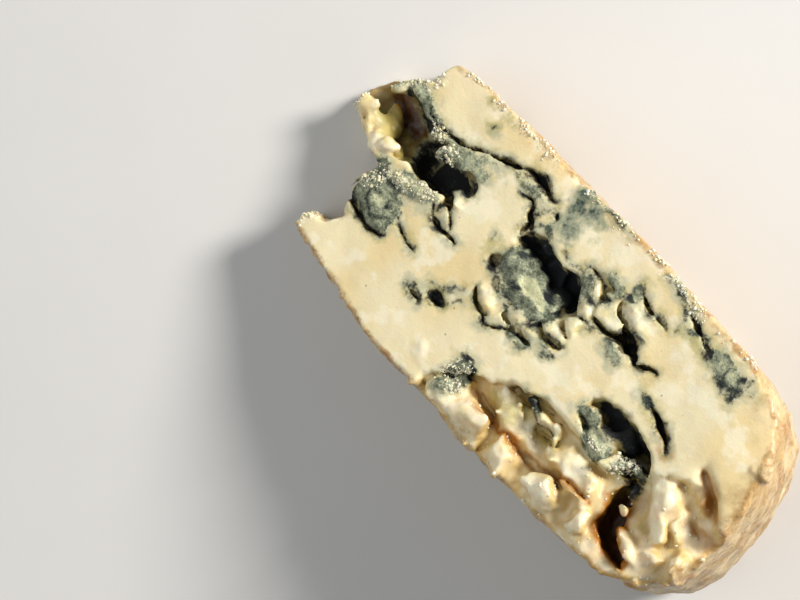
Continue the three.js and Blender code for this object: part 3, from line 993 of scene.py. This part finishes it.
# The next five colours are painted shade and glow in the paste's gaps and hollows.
SHADED_PASTE = linear(200, 170, 92)
AMBER_GLOW_AND_SHADE = linear(164, 102, 14)
DEEP_BROWN_SHADE = linear(76, 44, 14)
WARM_GAP_SHADE = linear(208, 172, 92)
OCHRE_HOLLOW_SHADE = linear(150, 122, 60)
CRUST_TAN = linear(184, 162, 122)
RIND_TAN = linear(188, 154, 98)
RIND_ORANGE = linear(164, 118, 64)
RIND_BROWN = linear(122, 92, 58)
RIND_BLOOM = linear(208, 186, 142)
BLUE_BLACK = linear(10, 13, 15)
SLATE_GREEN = linear(42, 50, 44)
GREY_GREEN = linear(100, 106, 84)
PALE_MOULD = linear(160, 164, 136)
SOFT_MOULD = linear(200, 200, 158)
GREY_STAIN = linear(188, 188, 160)
CRUMB_WHITE = linear(226, 220, 198)
TEAL_GREEN = linear(22, 56, 48)
TEAL_GREY = linear(104, 126, 108)
FLOOR_WHITE = linear(214, 212, 208)
FLOOR_SHADE = (*(0.97 * part for part in FLOOR_WHITE[:3]), 1.0)


class CheeseGraph(Graph):
    """The cheese's graph, with the noises and the gap value that its layers share; the gap
    value says where shade is painted.
    """

    def __init__(self):
        super().__init__("blue_cheese")
        self.patchy = self.noise(5, 4)
        self.blotch = self.noise(2.4, 4, 0.6)
        self.grain = self.noise(1.1, 4, 0.65)
        self.fine = self.noise(0.5, 3, 0.7)
        self.enclosed = self.attribute("shut_in")


def paste_colour(g):
    """Cream, in parts yellower, and whiter or faintly pink where it crumbles."""
    crumbly = g.attribute("crumbly")
    paste = g.mix(g.step(g.noise(22, 2), 0.4, 0.64), CREAM, YELLOW_PASTE)
    paste = g.lay(paste, WHITE_CURD, g.step(g.noise(6, 3), 0.5, 0.62), 0.7)
    paste = g.lay(paste, WHITE_CURD, crumbly, g.step(g.patchy, 0.42, 0.58), 0.8)
    return g.lay(paste, PINK_CURD, crumbly, g.step(g.noise(7, 2, 0.5, 0.4), 0.52, 0.62), 0.35)


def skin_colour(g):
    """Tan, mottled with pale bloom, orange and brown."""
    skin = g.mix(g.step(g.noise(9, 4, 0.6, 0.6), 0.42, 0.6), RIND_TAN, RIND_BLOOM)
    skin = g.lay(skin, RIND_ORANGE, g.step(g.noise(6, 5, 0.65, 0.8), 0.46, 0.64), 0.75)
    skin = g.lay(skin, RIND_BROWN, g.step(g.noise(4, 5, 0.7, 0.5), 0.55, 0.68), 0.6)
    skin = g.lay(skin, RIND_BLOOM, g.step(g.grain, 0.5, 0.68), 0.6)
    return g.lay(skin, RIND_BROWN, g.step(g.noise(0.9, 4, 0.7), 0.54, 0.66), 0.55)


def with_skin(g, colour):
    """The rind over the paste, a tint of it inside the outer end, and crusty edges."""
    skin = skin_colour(g)
    under_skin = g.plus(g.attribute("rind"), g.centred(g.patchy, 1.6), g.centred(g.grain, 0.8))
    tinted = g.step(g.noise(7, 3), 0.44, 0.6)
    colour = g.lay(colour, skin, g.step(under_skin, 7, 1), g.attribute("outer"), tinted, 0.65)
    colour = g.mix(g.step(under_skin, 1.4, 0.2), colour, skin)
    broken = g.step(g.noise(1.6, 4, 0.7), 0.46, 0.6)
    return g.lay(colour, CRUST_TAN, g.attribute("crust"), broken, 0.7)


def with_gaps(g, colour):
    """Painted shade: yellower paste in gaps, ochre in hollows and brown at the bottom; a
    painted orange-brown glow where light shines through; and a few brown specks."""
    height, crumbly = g.attribute("height"), g.attribute("crumbly")
    # painted shade: paste yellower and darker where it is enclosed
    colour = g.lay(colour, SHADED_PASTE, g.step(g.enclosed, 0.3, 0.85), 0.6)
    # painted warm shade in the crumbled corner's gaps, near the face
    near_face = g.step(height, -9, -6)
    colour = g.lay(colour, WARM_GAP_SHADE, crumbly, g.step(g.enclosed, 0.12, 0.6), near_face, 0.5)
    # painted shade: deep brown where most enclosed
    colour = g.mix(g.step(g.enclosed, 0.8, 1.05), colour, DEEP_BROWN_SHADE)
    # painted shade: ochre in hollows below the face, away from the rind and the crumbled corner
    sunken_shade = g.times(g.step(height, -0.3, -3.2), g.step(g.enclosed, 0, 0.2))
    firm = g.maths("SUBTRACT", 1.0, crumbly)
    colour = g.lay(colour, OCHRE_HOLLOW_SHADE, sunken_shade, firm, g.step(g.attribute("rind"), 1.5, 3.5), 0.9)
    # painted glow: orange-brown in the lobes' valleys and one crack, as if light shone through
    lit_through = g.plus(g.attribute("glow"), g.centred(g.patchy, 1.2))
    colour = g.lay(colour, AMBER_GLOW_AND_SHADE, g.step(lit_through, 1.4, -0.6), 0.95)
    # painted brown shade in marked cracks and hollow bottoms, darker with depth
    gap = g.plus(g.attribute("gap_shade"), g.centred(g.grain, 0.5))
    gap_shade = g.mix(g.step(height, -3, -8), AMBER_GLOW_AND_SHADE, DEEP_BROWN_SHADE)
    colour = g.mix(g.step(gap, 1.1, -0.5), colour, gap_shade)
    specks = g.step(g.cells(4.2), 0.075, 0.03)
    return g.lay(colour, RIND_BROWN, specks, g.step(g.patchy, 0.44, 0.56), 0.55)


def with_stains(g, colour):
    """Olive and grey-green staining in the paste round the mould, and olive staining and painted shade at
    the listed places.
    """
    mould = g.attribute("mould")
    halo = g.plus(mould, g.centred(g.blotch, 2.8))
    colour = g.lay(colour, OLIVE_STAIN, g.step(halo, 2, -0.4), 0.55)
    bruise = g.plus(mould, g.centred(g.noise(3.4, 4, 0.6), 4.4))
    in_open = g.step(g.enclosed, 0.5, 0.2)
    colour = g.lay(colour, GREY_STAIN, g.step(bruise, 1.6, -0.4), in_open, 0.62)
    # olive: partly real staining, partly painted shade in hollows and gaps
    stain_and_shade = g.plus(g.attribute("olive"), g.centred(g.patchy, 1.6), g.centred(g.grain, 1.4))
    return g.lay(colour, OLIVE_STAIN, g.step(stain_and_shade, 0.6, -1.2), 0.6)


def mould_colour(g, mould):
    """Blue-black to pale grey by tone: darker at a patch's rim, darker still in gaps as
    painted shade, and paler where the patch fades out."""
    rim = g.times(g.step(mould, -1.6, -0.4), -0.14)
    fade = g.times(g.step(mould, -0.3, 0.6), 0.5)
    # painted shade: mould darker where it is enclosed
    shade = g.times(g.step(g.enclosed, 0.3, 0.75), -0.5)
    texture = g.plus(g.centred(g.blotch, 0.6), g.centred(g.fine, 0.5), g.centred(g.grain, 0.3))
    return g.ramp(g.plus(g.attribute("tone"), texture, rim, fade, shade), [
        (0.0, BLUE_BLACK), (0.24, SLATE_GREEN), (0.5, GREY_GREEN), (0.78, PALE_MOULD),
        (1.0, SOFT_MOULD)])


def cheese_material():
    """Paste, rind, painted shade and glow in gaps, staining, mould, teal and crystals, each
    laid over the last where its distance, roughened by noise, falls below nothing."""
    g = CheeseGraph()
    ragged = g.plus(g.centred(g.blotch, 1.1), g.centred(g.grain, 0.9), g.centred(g.fine, 0.35))
    mould = g.plus(g.attribute("mould"), ragged)
    cover = g.step(mould, 0.6, -0.6)
    colour = with_stains(g, with_gaps(g, with_skin(g, paste_colour(g))))
    colour = g.mix(cover, colour, mould_colour(g, mould))
    teal = g.plus(g.attribute("teal"), g.times(ragged, 1.5))
    green = g.mix(g.step(g.blotch, 0.42, 0.62), TEAL_GREEN, TEAL_GREY)
    colour = g.lay(colour, TEAL_GREY, g.step(teal, 2.4, 0), 0.6)
    colour = g.mix(g.step(teal, 0.6, -1.4), colour, green)
    glint = g.plus(g.attribute("crystals"), g.centred(g.patchy, 1.4))
    grains = g.step(g.noise(0.8, 2, 0.6), 0.54, 0.62)
    colour = g.lay(colour, WHITE_CURD, g.step(glint, 0.5, -0.8), grains)
    g.join(colour, g.shader.inputs["Base Color"])

    rough = g.plus(g.times(cover, 0.3), g.step(g.patchy, -0.5, 2.5), 0.16)
    g.join(rough, g.shader.inputs["Roughness"])
    g.shader.inputs["Specular IOR Level"].default_value = 0.45
    g.shader.inputs["Subsurface Weight"].default_value = 0.35
    g.shader.inputs["Subsurface Radius"].default_value = (1.0, 0.62, 0.3)
    g.shader.inputs["Subsurface Scale"].default_value = 3.0 * MM

    rough_skin = g.plus(g.times(cover, 0.8), 0.15)
    normal = g.bump(g.blotch, 0.12)
    normal = g.bump(g.times(g.fine, rough_skin), 0.36, normal)
    g.join(normal, g.shader.inputs["Normal"])
    return g.material


def crumb_material():
    """White to cream, and dusted with grey where there is mould."""
    g = Graph("crumbs")
    colour = g.mix(g.step(g.noise(3, 3), 0.4, 0.6), CRUMB_WHITE, CREAM)
    dusted = g.step(g.noise(1.2, 3), 0.44, 0.56)
    colour = g.lay(colour, PALE_MOULD, g.attribute("mouldy"), dusted, 0.75)
    g.join(colour, g.shader.inputs["Base Color"])
    g.shader.inputs["Roughness"].default_value = 0.4
    g.shader.inputs["Subsurface Weight"].default_value = 0.3
    g.shader.inputs["Subsurface Radius"].default_value = (1.0, 0.8, 0.6)
    g.shader.inputs["Subsurface Scale"].default_value = 0.5 * MM
    return g.material


def floor_material():
    """Pale grey, very faintly uneven."""
    g = Graph("floor_white")
    colour = g.mix(g.step(g.noise(60, 4), 0.3, 0.7), FLOOR_WHITE, FLOOR_SHADE)
    g.join(colour, g.shader.inputs["Base Color"])
    g.shader.inputs["Roughness"].default_value = 0.7
    return g.material


# ---- pieces ----------------------------------------------------------------------
def make_cheese():
    """The whole wedge, rind and all, as one closed surface, and the crumbs on it."""
    field, origin = grid_of_distances(GRID_LOW, GRID_HIGH)
    vertices, quads = largest_piece(*surface_net(field, origin))
    mesh = thinned(mesh_from("cheese", relaxed(vertices, quads), quads))
    points = points_of(mesh)
    points[:, 2] = np.maximum(points[:, 2], 0)
    normals = np.empty(points.size, np.float32)
    mesh.vertices.foreach_get("normal", normals)
    marks = stains_and_shade(points)
    # how enclosed each vertex is, by which the material paints shade in gaps
    marks["shut_in"] = shut_in(field, origin, points, normals.reshape(-1, 3))
    for name, values in marks.items():
        layer = mesh.attributes.new(name, "FLOAT", "POINT")
        layer.data.foreach_set("value", values.astype(np.float32))
    mesh.vertices.foreach_set("co", to_frame(points).astype(np.float32).ravel())
    mesh.update()
    mesh.polygons.foreach_set("use_smooth", np.ones(len(mesh.polygons), bool))
    cheese = bpy.data.objects.new("cheese", mesh)
    bpy.context.scene.collection.objects.link(cheese)
    mesh.materials.clear()
    mesh.materials.append(cheese_material())
    return cheese, make_crumbs(points, marks)


def crumb_chances(marks):
    """How likely each vertex is to carry a crumb: likeliest where there are crystals
    and along the crusty edge, rarer on the crumbled corner."""
    on_crystals = smoothstep(0.4, -0.6, marks["crystals"]) * (marks["height"] > -4)
    return on_crystals + marks["crust"] + 0.025 * marks["crumbly"] * (marks["height"] > -4)


def make_crumbs(points, marks):
    """Crystals and crumbs half sunk in the surface: twenty-sided balls, their corners
    pushed in or out at random, at vertices drawn by their chances."""
    rng = np.random.default_rng(7)
    golden = (1 + math.sqrt(5)) / 2
    corners = np.array([(0, a, b * golden) for a in (-1, 1) for b in (-1, 1)])
    corners = np.concatenate([corners, np.roll(corners, 1, axis=1), np.roll(corners, 2, axis=1)])
    corners /= np.linalg.norm(corners[0])
    near = np.linalg.norm(corners[:, None] - corners[None], axis=2) < CORNERS_APART
    faces = [(i, j, k) for i in range(12) for j in range(i + 1, 12) for k in range(j + 1, 12)
             if near[i, j] and near[j, k] and near[i, k]]
    faces = np.array([(i, j, k) if np.linalg.det(corners[[i, j, k]]) > 0 else (i, k, j)
                      for i, j, k in faces])
    chances = crumb_chances(marks)
    chosen = rng.choice(len(points), CRUMBS, replace=False, p=chances / chances.sum())
    sizes = CRUMB_SIZE[0] + (CRUMB_SIZE[1] - CRUMB_SIZE[0]) * rng.uniform(0, 1, CRUMBS) ** 3
    pushed = rng.uniform(0.75, 1.25, (CRUMBS, 12, 1))
    stretched = rng.uniform(0.7, 1.3, (CRUMBS, 1, 3))
    vertices = points[chosen][:, None] + corners * pushed * stretched * sizes[:, None, None]
    vertices[..., 2] = np.maximum(vertices[..., 2], 0.05)
    every = (faces[None] + 12 * np.arange(CRUMBS)[:, None, None]).reshape(-1, 3)
    mesh = mesh_from("crumbs", to_frame(vertices.reshape(-1, 3)), every)
    mouldy = np.repeat(marks["mould"][chosen] < 0.4, 12).astype(np.float32)
    mesh.attributes.new("mouldy", "FLOAT", "POINT").data.foreach_set("value", mouldy)
    mesh.materials.append(crumb_material())
    crumbs = bpy.data.objects.new("crumbs", mesh)
    bpy.context.scene.collection.objects.link(crumbs)
    return crumbs


def make_floor():
    """A pale square, 6 m across, for the cheese to lie on."""
    corners = 3.0 * np.array([(-1, -1, 0), (1, -1, 0), (1, 1, 0), (-1, 1, 0)])
    mesh = mesh_from("floor", corners, np.array([[0, 1, 2, 3]]))
    mesh.materials.append(floor_material())
    floor = bpy.data.objects.new("floor", mesh)
    bpy.context.scene.collection.objects.link(floor)
    return floor


def add_light(name, place, target, size, watts, colour):
    """A round soft light, `size` metres across, that faces its target."""
    lamp = bpy.data.lights.new(name, "AREA")
    lamp.shape = "DISK"
    lamp.size = size
    lamp.energy = watts
    lamp.color = colour
    thing = bpy.data.objects.new(name, lamp)
    thing.location = place
    thing.rotation_euler = (Vector(target) - Vector(place)).to_track_quat("-Z", "Y").to_euler()
    bpy.context.scene.collection.objects.link(thing)


def add_camera():
    """A long lens nearly straight above, turned so that the tip is up and to the left."""
    lens = bpy.data.cameras.new("camera")
    lens.sensor_width = 36
    lens.lens = LENS
    camera = bpy.data.objects.new("camera", lens)
    camera.location = to_frame(np.array(CAMERA_PLACE))
    camera.rotation_euler = [math.radians(turn) for turn in CAMERA_TURN]
    bpy.context.scene.collection.objects.link(camera)
    bpy.context.scene.camera = camera


cheese, crumbs = make_cheese()
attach(cheese, "root")
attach(crumbs, "root")
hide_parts("cheese_wedge")
make_floor()

add_light("key", (0.33, 0.8, 0.54), (0, 0, 0.03), 0.3, 16.2, (1, 0.96, 0.92))
add_light("fill", (-0.4, -0.3, 0.6), (0, 0, 0.03), 0.9, 2.6, (0.94, 0.97, 1))
world = bpy.data.worlds.new("studio")
world.use_nodes = True
world.node_tree.nodes["Background"].inputs["Color"].default_value = (0.9, 0.95, 1, 1)
world.node_tree.nodes["Background"].inputs["Strength"].default_value = 0.18
bpy.context.scene.world = world
bpy.context.scene.view_settings.view_transform = "Standard"
add_camera()
